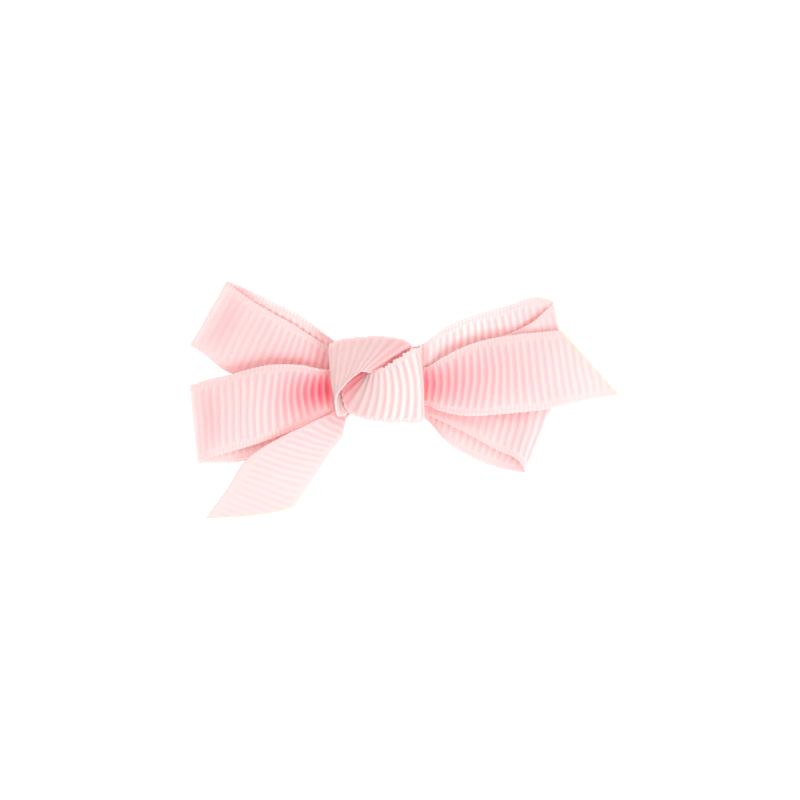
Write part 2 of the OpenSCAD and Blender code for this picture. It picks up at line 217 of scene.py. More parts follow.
# Middle surface of the ribbon and its normals, with uneven edges and a slow rumple
def laySurface(strip, cloth, along, across, inFrom, turns, fromEnd):
    seed, width = cloth["seed"], cloth["width"]
    side = across / width
    onEdge = (inFrom < 1e-4) * np.sign(across - width / 2)    # -1 and 1 on the two edges, 0 between them
    side = side + onEdge * cloth["picot"] * (turns - 0.3 + 0.3 * drift(along, across, 2.5, seed + 9)) / width
    place = strip.point(along, side)
    frayed = cloth["fray"] * drift(place[:, 0] + place[:, 2], place[:, 1], 0.8, seed + 70)
    side = side + onEdge * frayed / width
    normal = strip.normal(along, np.clip(side, 0.03, 0.97))
    uneven = cloth["rumple"] * drift(along, across * 1.6, 7, seed + 50) * smoothstep(fromEnd, 0, 4)
    return side, strip.point(along, side) + normal * uneven[:, None], normal


# Woven ribbon along a path, as one closed mesh with real ribs on both faces
def ribbon(name, spec, material, cuts=()):
    cloth = {**weave, **spec}
    strip = Strip(cloth["path"])
    spots, faces, rim, area = flatPiece(strip.length, cloth["width"], cuts)
    along, across = spots[:, 0], spots[:, 1]
    cutLength = float(along.max() - along.min())
    inFrom = np.minimum(across, cloth["width"] - across)
    fromEnd = distanceToEnd(along, across, strip.length, cuts)
    # Painted shade in closed folds above zero, painted light on the crests below zero
    paintedShade = strip.value(along, paintedShadeColumn)
    pressed = np.clip(strip.value(along, pressedColumn), 0, 1)
    wave, ribSize, body, turns, stitches = weavePattern(cloth, along, across, inFrom)
    side, base, normal = laySurface(strip, cloth, along, across, inFrom, turns, fromEnd)

    relief = cloth["ribHeight"] * wave * ribSize * body * (1 - cloth["ironed"] * pressed)
    relief = relief + cloth["stitchHeight"] * stitches * (1 - body)
    taper = smoothstep(inFrom, 0, cloth["edgeTaper"])
    thin = cloth["edgeThickness"]
    half = (cloth["thickness"] / 2) * (thin + (1 - thin) * taper) + relief
    sealed = 1 - smoothstep(fromEnd, 0.05, cloth["sealLength"])
    half = half * (1 - cloth["sealThinning"] * sealed) + cloth["sealBead"] * sealed
    points = np.concatenate([base - normal * half[:, None], base + normal * half[:, None]]) * mm
    count = len(spots)
    polygons = [f[::-1] for f in faces] + [[i + count for i in f] for f in faces]
    polygons += [[a, b, b + count, a + count] for a, b in rim]
    mesh = bpy.data.meshes.new(name)
    mesh.from_pydata(points.tolist(), [], polygons)

    # Masks for the material, the same on both faces
    middling = np.clip(1 - ((side - 0.46) / cloth["paintedShadeReach"]) ** 2, 0, 1)
    # Painted light and shade of the ribs: 1 on a crest (painted highlight), 0 in a groove (painted shade),
    # pale stitches in the selvage, and a middle value where pressed
    ribShadingValues = wave**3 * body + (0.1 + 0.9 * stitches) * (1 - body)
    # Painted highlight: paler crests where the light falls strongest, from painted shade values below zero
    highlightShare = np.clip(-paintedShade, 0, 1) * (0.75 + 0.25 * body)
    masks = {
        "ribShading": ribShadingValues + (0.6 - ribShadingValues) * 0.75 * pressed,
        "selvage": 1 - body,
        "sealed": sealed if cuts else np.zeros(count),
        "paintedShade": np.clip(paintedShade, 0, 1) * middling,
        # painted highlight on the crests, together with the pale very edge that paleEdge asks for
        "paintedHighlight": np.maximum(highlightShare, cloth["paleEdge"] * (inFrom < 0.12)),
    }
    for label, values in masks.items():
        addAttribute(mesh, label, np.tile(values, 2))
    layer = mesh.uv_layers.new(name="cloth")
    corner = np.array([loop.vertex_index for loop in mesh.loops]) % count
    layer.data.foreach_set("uv", (spots[corner] * 0.1).astype(np.float32).ravel())
    piece = linkPiece(name, mesh, material)
    print(f"ribbon {name}: cut {cutLength:.1f} mm long, {len(polygons)} faces")
    return piece, cutLength * mm, area * mm * mm


# Node helpers for the shader groups and the materials
def makeGroup(name, inputs, outputs):
    group = bpy.data.node_groups.new(name, "ShaderNodeTree")
    for label, kind, value in inputs:
        socket = group.interface.new_socket(label, in_out="INPUT", socket_type=kind)
        socket.default_value = value
    for label, kind in outputs:
        group.interface.new_socket(label, in_out="OUTPUT", socket_type=kind)
    given, result = group.nodes.new("NodeGroupInput"), group.nodes.new("NodeGroupOutput")
    return group, group.nodes, group.links, given, result


# A plain value is set on the socket, and a node's output is linked to it
def plug(links, socket, value):
    if isinstance(value, (int, float, tuple)):
        socket.default_value = value
    else:
        links.new(value, socket)


def calc(nodes, links, operation, first, second=0.0, clamp=False):
    node = nodes.new("ShaderNodeMath")
    node.operation = operation
    node.use_clamp = clamp
    plug(links, node.inputs[0], first)
    plug(links, node.inputs[1], second)
    return node.outputs[0]


# Slots 6 and 7 are the Mix node's two colours, and output 2 is the mixed one
def mixColour(nodes, links, factor, low, high):
    node = nodes.new("ShaderNodeMix")
    node.data_type = "RGBA"
    for slot, value in ((0, factor), (6, low), (7, high)):
        plug(links, node.inputs[slot], value)
    return node.outputs[2]


def noise(nodes, links, place, scale, detail):
    node = nodes.new("ShaderNodeTexNoise")
    node.inputs["Detail"].default_value = detail
    links.new(place, node.inputs["Vector"])
    links.new(scale, node.inputs["Scale"])
    return node.outputs["Fac"]


# Lengthwise yarns packed over the ribs, with loose fibres
def yarnGroup():
    group, nodes, links, given, result = makeGroup(
        "woven yarns",
        [("Yarns Per Unit", "NodeSocketFloat", 40.0), ("Fibre Scale", "NodeSocketFloat", 90.0)],
        [("Height", "NodeSocketFloat"), ("Fibre", "NodeSocketFloat")])
    place = nodes.new("ShaderNodeUVMap")
    place.uv_map = "cloth"
    split = nodes.new("ShaderNodeSeparateXYZ")
    links.new(place.outputs["UV"], split.inputs[0])
    turned = calc(nodes, links, "MULTIPLY", split.outputs["Y"], given.outputs["Yarns Per Unit"])
    wave = calc(nodes, links, "SINE", calc(nodes, links, "MULTIPLY", turned, math.pi))
    ridge = calc(nodes, links, "ABSOLUTE", wave)
    fibre = noise(nodes, links, place.outputs["UV"], given.outputs["Fibre Scale"], 4)
    uneven = calc(nodes, links, "MULTIPLY", fibre, 0.6)
    links.new(calc(nodes, links, "ADD", ridge, uneven), result.inputs["Height"])
    links.new(fibre, result.inputs["Fibre"])
    return group


# Slow change of shade over a surface, from 0 to 1
def mottleGroup():
    group, nodes, links, given, result = makeGroup(
        "mottle",
        [("Scale", "NodeSocketFloat", 150.0), ("Contrast", "NodeSocketFloat", 1.5)],
        [("Shade", "NodeSocketFloat")])
    place = nodes.new("ShaderNodeTexCoord")
    cloud = noise(nodes, links, place.outputs["Object"], given.outputs["Scale"], 3)
    centred = calc(nodes, links, "SUBTRACT", cloud, 0.5)
    stretched = calc(nodes, links, "MULTIPLY", centred, given.outputs["Contrast"])
    links.new(calc(nodes, links, "ADD", stretched, 0.5, clamp=True), result.inputs["Shade"])
    return group


# Fine drawn lines along a metal part and small dull spots between them
def metalGrainGroup():
    group, nodes, links, given, result = makeGroup(
        "metal grain",
        [("Line Scale", "NodeSocketFloat", 900.0), ("Stretch", "NodeSocketVector", (0.04, 1.0, 1.0)),
         ("Spot Scale", "NodeSocketFloat", 500.0)],
        [("Line", "NodeSocketFloat"), ("Spot", "NodeSocketFloat")])
    place = nodes.new("ShaderNodeTexCoord")
    squeeze = nodes.new("ShaderNodeVectorMath")
    squeeze.operation = "MULTIPLY"
    links.new(place.outputs["Object"], squeeze.inputs[0])
    links.new(given.outputs["Stretch"], squeeze.inputs[1])
    line = noise(nodes, links, squeeze.outputs[0], given.outputs["Line Scale"], 5)
    spot = noise(nodes, links, place.outputs["Object"], given.outputs["Spot Scale"], 2)
    raised = calc(nodes, links, "SUBTRACT", spot, 0.56)
    links.new(line, result.inputs["Line"])
    links.new(calc(nodes, links, "MULTIPLY", raised, 6.0, clamp=True), result.inputs["Spot"])
    return group


yarns = yarnGroup()
mottle = mottleGroup()
metalGrain = metalGrainGroup()


def startMaterial(name):
    material = bpy.data.materials.new(name)
    material.use_nodes = True
    nodes, links = material.node_tree.nodes, material.node_tree.links
    return material, nodes, links, nodes["Principled BSDF"]


# An underscore in a keyword stands for the space in the socket's name
def placeGroup(nodes, group, **values):
    node = nodes.new("ShaderNodeGroup")
    node.node_tree = group
    for label, value in values.items():
        node.inputs[label.replace("_", " ")].default_value = value
    return node


def setSockets(shader, values):
    for label, value in values.items():
        shader.inputs[label].default_value = value


def attribute(nodes, name):
    node = nodes.new("ShaderNodeAttribute")
    node.attribute_name = name
    return node.outputs["Fac"]


# A mask stretched to base + gain * mask, for roughness and the like
def scaled(nodes, links, mask, gain, base):
    return calc(nodes, links, "ADD", calc(nodes, links, "MULTIPLY", mask, gain), base)


def bumpFrom(nodes, links, shader, height, distance, strength=0.5):
    bump = nodes.new("ShaderNodeBump")
    bump.inputs["Strength"].default_value = strength
    bump.inputs["Distance"].default_value = distance
    links.new(height, bump.inputs["Height"])
    links.new(bump.outputs["Normal"], shader.inputs["Normal"])


clothFinish = {
    "yarns": 38.0,           # lengthwise yarns in 10 mm of width
    "fibres": 70.0,          # fineness of the loose fibres
    "cloudScale": 170.0,
    "cloudContrast": 1.3,
    "cloud": 0.15,           # slow change of shade
    "edging": 0.8,           # how far the selvage takes its own colour
    "grooveFoldShade": 1.15,     # how far a groove takes the painted shade of a closed fold
    "crestFoldShade": 0.65,
    "litGroove": 0.3,        # share of the painted highlight that reaches the grooves
    "toast": 0.75,           # how far a sealed rim takes its own colour
    "roughness": 0.62,
    "fibreRoughness": 0.25,
    "yarnRelief": 0.00005,   # metres
}
clothSockets = {
    "Sheen Roughness": 0.4,
    "Specular IOR Level": 0.2,
    "Subsurface Weight": 0.4,
    "Subsurface Radius": (1.0, 0.6, 0.55),
    "Subsurface Scale": 0.0004,
    # Painted glow: a faint pink emission lifts the ribbon's shade, though the ribbon is no lamp
    "Emission Color": (1.0, 0.42, 0.43, 1),
    "Emission Strength": 0.05,
}


# Ribbed ribbon: painted highlights on the crests, painted shade in the grooves and in closed folds, and
# toasted cut ends
def ribbonMaterial(name, colours, sheen=0.2):
    material, nodes, links, shader = startMaterial(name)
    threads = placeGroup(nodes, yarns, Yarns_Per_Unit=clothFinish["yarns"], Fibre_Scale=clothFinish["fibres"])
    clouds = placeGroup(nodes, mottle, Scale=clothFinish["cloudScale"], Contrast=clothFinish["cloudContrast"])
    # The rib mask paints the crests in a highlight colour and the grooves in a shade colour
    ribShading = attribute(nodes, "ribShading")
    tone = mixColour(nodes, links, ribShading, colours["shadedGroove"], colours["litCrest"])
    cloudy = calc(nodes, links, "MULTIPLY", clouds.outputs["Shade"], clothFinish["cloud"])
    tone = mixColour(nodes, links, cloudy, tone, colours["shadedGroove"])
    onStitch = calc(nodes, links, "MULTIPLY", ribShading, clothFinish["edging"])
    edging = calc(nodes, links, "MULTIPLY", attribute(nodes, "selvage"), onStitch)
    tone = mixColour(nodes, links, edging, tone, colours["edge"])
    # Painted shade of closed folds: a deep red, strongest in the grooves
    foldShadeDrop = clothFinish["grooveFoldShade"] - clothFinish["crestFoldShade"]
    inGroove = calc(nodes, links, "SUBTRACT", clothFinish["grooveFoldShade"],
                    calc(nodes, links, "MULTIPLY", ribShading, foldShadeDrop))
    foldShaded = calc(nodes, links, "MULTIPLY", attribute(nodes, "paintedShade"), inGroove, clamp=True)
    tone = mixColour(nodes, links, foldShaded, tone, colours["fold"])
    onCrest = scaled(nodes, links, ribShading, 1 - clothFinish["litGroove"], clothFinish["litGroove"])
    # Painted highlight, mostly on the crests
    highlightShare = calc(nodes, links, "MULTIPLY", attribute(nodes, "paintedHighlight"), onCrest, clamp=True)
    tone = mixColour(nodes, links, highlightShare, tone, colours["paintedHighlight"])
    toasted = calc(nodes, links, "MULTIPLY", attribute(nodes, "sealed"), clothFinish["toast"])
    tone = mixColour(nodes, links, toasted, tone, colours["sealed"])
    links.new(tone, shader.inputs["Base Color"])
    rough = scaled(nodes, links, threads.outputs["Fibre"], clothFinish["fibreRoughness"],
                   clothFinish["roughness"])
    links.new(rough, shader.inputs["Roughness"])
    setSockets(shader, clothSockets)
    shader.inputs["Sheen Weight"].default_value = sheen
    bumpFrom(nodes, links, shader, threads.outputs["Height"], clothFinish["yarnRelief"])
    return material


steelGrain = {
    "lineScale": 1100.0, "spotScale": 600.0, "spotTone": 0.5,
    "lineRoughness": 0.16, "spotRoughness": 0.12, "relief": 0.00003, "strength": 0.35,
}
# The stretch is smallest along the drawn lines: X on the plated parts and Y on the spring
platedFinish = {
    "name": "plated steel", "stretch": (0.04, 1.0, 1.0), "roughness": 0.20,
    "pale": (0.56, 0.57, 0.58, 1), "dull": (0.36, 0.36, 0.36, 1),
}
wireFinish = {
    "name": "spring wire", "stretch": (1.0, 0.08, 1.0), "roughness": 0.28,
    "pale": (0.40, 0.40, 0.41, 1), "dull": (0.25, 0.24, 0.24, 1),
}


# Plated or bare steel with drawn lines and small dull spots
def steelMaterial(finish):
    material, nodes, links, shader = startMaterial(finish["name"])
    grain = placeGroup(nodes, metalGrain, Line_Scale=steelGrain["lineScale"], Stretch=finish["stretch"],
                       Spot_Scale=steelGrain["spotScale"])
    dulled = calc(nodes, links, "MULTIPLY", grain.outputs["Spot"], steelGrain["spotTone"])
    links.new(mixColour(nodes, links, dulled, finish["pale"], finish["dull"]), shader.inputs["Base Color"])
    shader.inputs["Metallic"].default_value = 1.0
    lined = scaled(nodes, links, grain.outputs["Line"], steelGrain["lineRoughness"], finish["roughness"])
    rough = scaled(nodes, links, grain.outputs["Spot"], steelGrain["spotRoughness"], lined)
    links.new(rough, shader.inputs["Roughness"])
    bumpFrom(nodes, links, shader, grain.outputs["Line"], steelGrain["relief"], steelGrain["strength"])
    return material


siliconeFinish = {
    "name": "milky silicone", "scale": 420.0, "contrast": 1.6,
    "dark": (0.80, 0.79, 0.76, 1), "pale": (0.92, 0.91, 0.89, 1),
    "roughness": 0.42, "dust": 0.2, "relief": 0.00002, "strength": 0.3,
    "sockets": {"Subsurface Weight": 0.3, "Subsurface Scale": 0.0008},
}
glueFinish = {
    "name": "set glue", "scale": 700.0, "contrast": 1.2,
    "dark": (0.88, 0.82, 0.68, 1), "pale": (0.95, 0.92, 0.84, 1),
    "roughness": 0.16, "dust": 0.12, "relief": 0.00003, "strength": 0.4,
    "sockets": {"Subsurface Weight": 0.4, "Subsurface Scale": 0.001},
}


# Cloudy soft stuff: dusty white rubber, or glossy creamy glue
def cloudyMaterial(finish):
    material, nodes, links, shader = startMaterial(finish["name"])
    clouds = placeGroup(nodes, mottle, Scale=finish["scale"], Contrast=finish["contrast"])
    shade = clouds.outputs["Shade"]
    links.new(mixColour(nodes, links, shade, finish["dark"], finish["pale"]), shader.inputs["Base Color"])
    links.new(scaled(nodes, links, shade, finish["dust"], finish["roughness"]), shader.inputs["Roughness"])
    setSockets(shader, finish["sockets"])
    bumpFrom(nodes, links, shader, shade, finish["relief"], finish["strength"])
    return material


bowColours = {
    # Crest colour is a painted highlight and groove colour is painted shade on the ribs
    "litCrest": (0.985, 0.695, 0.685, 1),
    "shadedGroove": (0.965, 0.53, 0.54, 1),
    "edge": (0.98, 0.66, 0.65, 1),
    # deep red painted shade for closed folds
    "fold": (0.98, 0.12, 0.18, 1),
    # pale colour of the painted highlight
    "paintedHighlight": (0.99, 0.87, 0.85, 1),
    "sealed": (0.95, 0.66, 0.50, 1),
}
# The knot is the same ribbon in a darker, greyer copy of its colours: painted shade on the knot
knotShadedColours = dict(bowColours, litCrest=(0.77, 0.62, 0.60, 1), shadedGroove=(0.74, 0.47, 0.47, 1))
threadColours = dict(bowColours, shadedGroove=(0.92, 0.5, 0.52, 1))
ribbonPink = ribbonMaterial("pale pink grosgrain", bowColours)
knotShadedPink = ribbonMaterial("knot grosgrain in painted shade", knotShadedColours)
linerPink = ribbonMaterial("liner grosgrain", bowColours)
threadPink = ribbonMaterial("binding yarn", threadColours, sheen=0.4)
platedSteel = steelMaterial(platedFinish)
springSteel = steelMaterial(wireFinish)
silicone = cloudyMaterial(siliconeFinish)
glue = cloudyMaterial(glueFinish)
print("materials made")


# Rear ribbon: out to the upper left fold, back over the waist to the lower right fold, and home
backLoopsSpec = {
    "seed": 3,
    "path": [
        station((0.9, 2.6, 7.75), (0.4, -2.9, 7.75)),
        station((-3.2, 3.4, 7.95), (-3.4, -2.0, 7.8)),
        station((-6.6, 5.6, 9.0), (-7.8, -1.7, 7.8), (0, 0, -0.2), paintedShade=-0.3),
        station((-11.1, 8.9, 10.4), (-13.5, -1.0, 7.9), (0, 0, -0.4), paintedShade=-0.6),
        station((-16.6, 11.65, 10.6), (-19.5, 1.4, 8.3), (0, 0, -0.3), paintedShade=-0.6),
        station((-20.3, 13.35, 9.8), (-25.1, 4.2, 8.7), paintedShade=-0.2, pressed=0.5),
        station((-21.5, 13.7, 10.0), (-26.7, 4.8, 9.2), paintedShade=-0.6, pressed=0.95),
        station((-20.4, 12.8, 10.4), (-25.5, 4.1, 9.7), pressed=0.95),
        station((-17.2, 10.6, 10.9), (-22.0, 1.4, 9.7), (0, 0, 0.3), paintedShade=0.06, pressed=0.75),
        station((-12.5, 7.9, 10.9), (-16.4, -1.0, 8.9), (0, 0, 0.2), paintedShade=0.1, pressed=0.35),
        station((-9.0, 5.7, 10.0), (-10.8, -2.0, 8.45), paintedShade=0.08),
        station((-5.6, 3.5, 8.9), (-6.4, -2.5, 8.4), paintedShade=0.2),
        station((-2.0, 2.3, 8.4), (-2.4, -3.0, 8.4)),
        station((2.4, 1.8, 8.4), (2.0, -3.4, 8.4)),
        station((6.6, 0.7, 8.4), (6.2, -4.8, 8.6), paintedShade=0.15, pressed=0.8),
        station((11.5, -0.5, 8.6), (10.5, -6.7, 9.6), (0, 0, 0.2), paintedShade=-0.15, pressed=0.9),
        station((17.5, -1.7, 9.2), (15.9, -9.6, 10.6), (0, 0, 0.3), paintedShade=-0.15, pressed=0.35),
        station((22.6, -3.1, 9.8), (19.9, -11.8, 10.5), (0, 0, 0.2), pressed=0.2),
        station((24.5, -3.8, 9.3), (20.5, -13.2, 9.8), paintedShade=-0.4),
        station((23.2, -3.6, 8.7), (19.0, -13.0, 9.4), paintedShade=-0.3, pressed=0.3),
        station((17.0, -1.7, 8.2), (14.2, -11.6, 9.4), paintedShade=-0.45, pressed=0.5),
        station((11.0, -0.2, 7.9), (9.3, -8.6, 8.8), (0, 0, -0.2), paintedShade=-0.4, pressed=0.5),
        station((7.2, 0.8, 7.8), (7.0, -6.0, 7.9), (0, 0, -0.1)),
        station((3.6, 1.6, 7.75), (3.6, -3.6, 7.75)),
        station((1.7, 2.2, 7.75), (1.4, -3.1, 7.75)),
    ],
}

# Front ribbon: out to the left fold, back over the waist to the upper right fold, and home
frontLoopsSpec = {
    "seed": 8,
    "path": [
        station((1.0, 2.4, 9.05), (0.6, -3.0, 9.05)),
        station((-3.4, 1.9, 9.05), (-3.0, -3.7, 9.05)),
        station((-7.0, 1.2, 9.5), (-6.2, -5.4, 9.0), (0, 0, -0.1)),
        station((-12.0, 0.4, 10.0), (-11.5, -8.6, 9.7), paintedShade=-0.4),
        station((-18.0, -0.8, 9.9), (-18.2, -11.3, 10.6), (0, 0, -0.3), paintedShade=-1, pressed=0.5),
        station((-25.3, -1.6, 9.9), (-24.3, -11.9, 10.2), paintedShade=-0.9, pressed=0.5),
        station((-26.6, -1.0, 10.3), (-25.5, -11.8, 10.5), paintedShade=-0.6, pressed=0.7),
        station((-25.6, -0.6, 10.8), (-24.7, -11.4, 10.9), paintedShade=-0.08, pressed=0.7),
        station((-21.3, 0.5, 11.3), (-21.0, -10.2, 11.3), (0, 0, 0.9), pressed=0.3),
        station((-15.5, 1.9, 11.5), (-16.0, -8.7, 11.8), (-0.3, 0, 0.8), paintedShade=0.05),
        station((-10.8, 1.9, 11.4), (-10.8, -6.7, 11.3), (-0.9, 0, -0.5), paintedShade=0.55),
        station((-7.9, 1.3, 11.0), (-7.6, -5.0, 10.6), (-0.7, 0, -0.8), paintedShade=0.9),
        station((-6.1, 1.3, 10.4), (-5.6, -4.2, 9.9), (0, 0, -0.2), paintedShade=0.9),
        station((-2.0, 1.8, 9.7), (-2.0, -3.6, 9.7)),
        station((2.0, 2.2, 9.7), (2.0, -3.2, 9.7)),
        station((6.6, 2.4, 9.9), (6.6, -3.2, 9.9), paintedShade=0.15),
        station((10.5, 3.6, 10.9), (10.6, -4.2, 10.4)),
        station((14.5, 5.2, 11.3), (15.2, -4.2, 10.7), pressed=0.7),
        station((19.2, 6.7, 11.3), (20.6, -2.8, 10.8), pressed=0.7),
        station((23.0, 9.2, 11.1), (25.2, 0.3, 10.4), pressed=0.6),
        station((24.4, 10.9, 10.9), (26.4, 1.6, 9.9), pressed=0.6),
        station((22.9, 11.4, 11.0), (25.0, 1.7, 9.4), (0, 0, -0.2), pressed=0.4),
        station((18.0, 10.2, 11.7), (19.5, 0.6, 9.2), (0, 0, -0.2), paintedShade=-0.25),
        station((12.8, 8.7, 11.9), (13.5, -0.5, 9.3), (0, 0, -0.2), paintedShade=-0.6),
        station((9.2, 7.1, 11.6), (9.3, -1.6, 9.2), (0, 0, -0.2), paintedShade=-0.5),
        station((6.9, 5.35, 11.2), (7.0, -2.5, 9.15), paintedShade=-0.4, pressed=0.5),
        station((5.7, 4.6, 10.5), (5.3, -2.9, 9.1)),
        station((4.4, 3.2, 9.2), (3.6, -3.2, 9.05)),
        station((1.8, 2.4, 9.05), (1.6, -3.1, 9.05)),
    ],
}

# Front length: runs past both slanted cuts, which are made in the flat ribbon.
# Each cut is given by where it meets the ribbon's two edges, seen from the front.
tailsSpec = {
    "seed": 15,
    "leftCut": ((-24.7, -19.6), (-12.2, -18.2)),
    "rightCut": ((25.6, 6.6), (34.0, -2.2)),
    "path": [
        station((-25.9, -21.6, 7.4), (-17.4, -25.6, 4.4), pressed=0.85),
        station((-21.6, -15.8, 10.3), (-13.0, -19.4, 7.2), (0.2, -0.3, 0), pressed=0.85),
        station((-18.2, -11.0, 12.1), (-9.2, -13.8, 9.5), (0.2, -0.3, 0.3), pressed=0.75),
        station((-13.9, -8.3, 12.7), (-6.9, -10.2, 10.8), (0.1, -0.2, 0.2), pressed=0.55),
        station((-9.0, -5.9, 12.1), (-5.2, -8.0, 11.0), pressed=0.35),
        station((-5.9, -4.3, 10.8), (-4.5, -5.5, 10.6), paintedShade=0.2),
        station((-3.2, -1.2, 10.35), (-2.8, -4.3, 10.35)),
        station((-1.4, 0.4, 10.35), (-1.3, -3.1, 10.35)),
        station((0.6, 1.4, 10.35), (0.6, -3.0, 10.35)),
        station((4.0, 1.6, 10.35), (4.0, -3.4, 10.35)),
        station((6.6, 1.7, 10.6), (6.6, -3.6, 10.6), (0, 0, -0.1), paintedShade=0.6),
        station((8.8, 2.9, 11.6), (8.6, -4.4, 11.5), (0.5, 0, -0.6), paintedShade=0.47),
        station((12.2, 4.6, 12.1), (11.6, -5.1, 11.9), (0.5, 0, -0.3), paintedShade=0.3),
        station((17.0, 5.9, 12.1), (17.3, -4.9, 11.8), (0.3, 0, 0.5), paintedShade=0.17, pressed=0.2),
        station((22.0, 6.5, 11.8), (23.4, -4.2, 11.3), (0, 0, 0.6), paintedShade=0.06, pressed=0.3),
        station((28.0, 7.1, 11.2), (29.6, -2.9, 10.3), (0, 0, 0.4), paintedShade=-0.15, pressed=0.55),
        station((33.6, 7.6, 9.8), (35.2, -2.1, 9.2), paintedShade=-0.2, pressed=0.6),
    ],
}

# Knot: from under the clip's arm, up over the waist, through one overhand turn and back under the arm
knotSpec = {
    "seed": 23,
    "ribHeight": 0.13,
    "selvage": 0.6,
    "picot": 0.2,
    "fray": 0.2,
    "paleEdge": 0.45,
    "paintedShadeReach": 0.9,
    "path": [
        station((3.2, -2.2, 5.72), (-3.2, -2.2, 5.72), pressed=0.6),
        station((3.2, 2.2, 5.72), (-3.2, 2.2, 5.72), pressed=0.6),
        station((3.2, 3.3, 5.72), (-3.2, 3.3, 5.72), pressed=0.6),
        station((3.3, 4.3, 6.1), (-3.3, 4.3, 6.1)),
        station((3.3, 4.7, 7.4), (-3.3, 4.7, 7.4)),
        station((3.3, 4.7, 10.6), (-3.3, 4.7, 10.6)),
        station((3.2, 4.5, 11.6), (-3.6, 4.6, 11.6)),
        station((2.0, 3.4, 12.1), (-5.2, 3.4, 12.1), paintedShade=0.6, pressed=0.5),
        station((0.0, 2.2, 12.1), (-5.4, -0.4, 12.1), paintedShade=0.8, pressed=0.5),
        station((-1.3, 1.1, 12.5), (-4.4, -4.4, 12.3), paintedShade=0.12, pressed=0.2),
        station((0.4, 1.5, 13.4), (-0.4, -5.9, 12.8), (0.5, 0, 0.2), paintedShade=-0.5),
        station((2.9, 2.95, 13.75), (3.4, -6.1, 12.7), (0.7, 0, 0.4), paintedShade=-0.6),
        station((4.8, 4.1, 13.2), (5.7, -6.1, 12.6), (0.45, 0, 0.2), paintedShade=-0.5, pressed=0.15),
        station((5.5, 4.3, 12.5), (6.2, -5.9, 12.0), (0.2, 0, 0), paintedShade=-0.3, pressed=0.3),
        station((5.9, 4.5, 11.9), (6.1, -5.7, 11.5), (0.1, 0, 0)),
        station((5.2, 4.6, 11.4), (5.2, -5.3, 11.35)),
        station((0.0, 4.0, 11.3), (0.0, -4.6, 11.3)),
        station((-5.0, 4.4, 11.35), (-4.0, -4.6, 11.35)),
        station((-6.4, 4.6, 11.6), (-5.0, -5.0, 11.6)),
        station((-6.9, 4.7, 12.3), (-5.5, -5.3, 12.2), (-0.25, 0, 0), pressed=0.5),
        station((-5.7, 5.4, 12.6), (-6.05, -3.3, 13.0), (-0.2, 0, 0.2), pressed=0.7),
        station((-2.5, 5.8, 12.9), (-5.0, -1.2, 13.7), (0, 0, 0.3), pressed=0.7),
        station((1.2, 5.8, 13.0), (-2.9, 0.7, 14.0), (0, 0, 0.35), pressed=0.6),
        station((4.3, 5.0, 13.2), (-1.8, 1.1, 13.7), (0, 0, 0.1), paintedShade=0.25, pressed=0.1),
        station((4.9, 4.2, 13.0), (-1.3, 0.95, 13.1), paintedShade=0.5),
        station((4.9, 3.2, 12.5), (-0.8, 0.4, 12.5), paintedShade=0.6),
        station((3.8, -2.4, 12.4), (-2.6, -3.2, 12.4), paintedShade=0.4),
        station((3.3, -4.7, 11.8), (-3.2, -4.8, 11.7)),
        station((3.3, -5.0, 10.4), (-3.3, -5.0, 10.4)),
        station((3.3, -5.0, 6.6), (-3.3, -5.0, 6.6)),
        station((3.3, -4.5, 5.37), (-3.3, -4.5, 5.37)),
        station((3.2, -3.4, 5.02), (-3.2, -3.4, 5.02), pressed=0.6),
        station((3.2, -2.2, 5.02), (-3.2, -2.2, 5.02), pressed=0.6),
        station((3.2, 2.2, 5.02), (-3.2, 2.2, 5.02), pressed=0.6),
    ],
}


# A slanted cut from one edge to the other, keeping the side that holds the middle of the ribbon
def slantedCut(strip, ends):
    start = (strip.alongAt(0, *ends[0]), 0)
    finish = (strip.alongAt(1, *ends[1]), weave["width"])
    line = (finish[0] - start[0], finish[1] - start[1])
    outward = (line[1], -line[0])
    if (strip.length / 2 - start[0]) * outward[0] + (weave["width"] / 2) * outward[1] > 0:
        outward = (-outward[0], -outward[1])
    return start, outward


# Puts a ribbon under the bow's body and hides the part that it stands in for
def declareRibbon(piece, node):
    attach(piece, "bow")
    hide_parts(node)


backLoops, backLength, _ = ribbon("back-loops-ribbon", backLoopsSpec, ribbonPink)
frontLoops, frontLength, _ = ribbon("front-loops-ribbon", frontLoopsSpec, ribbonPink)
uncut = Strip(tailsSpec["path"])
tailCuts = [slantedCut(uncut, tailsSpec["leftCut"]), slantedCut(uncut, tailsSpec["rightCut"])]
tails, tailsLength, tailsArea = ribbon("tails-ribbon", tailsSpec, ribbonPink, tailCuts)
knot, knotLength, _ = ribbon("knot-ribbon", knotSpec, knotShadedPink)

declareRibbon(backLoops, "back_loops")
declareRibbon(frontLoops, "front_loops")
declareRibbon(tails, "tails")
declareRibbon(knot, "knot")

# Liner glued on the clip's arm. It is cut from the same ribbon, so its flat size is that ribbon's.
linerSpec = {
    "seed": 31,
    "width": 6.2,           # across its widest place, once trimmed
    "ribHeight": 0.055,     # pressed into the glue
    "tipHalf": 2.1,         # half of its width at the tip
    "endGap": 0.06,         # left clear at each end of the arm
    "stations": 60,
    "cutLength": 42,
    "cutArea": 240,         # square millimetres left after trimming
}


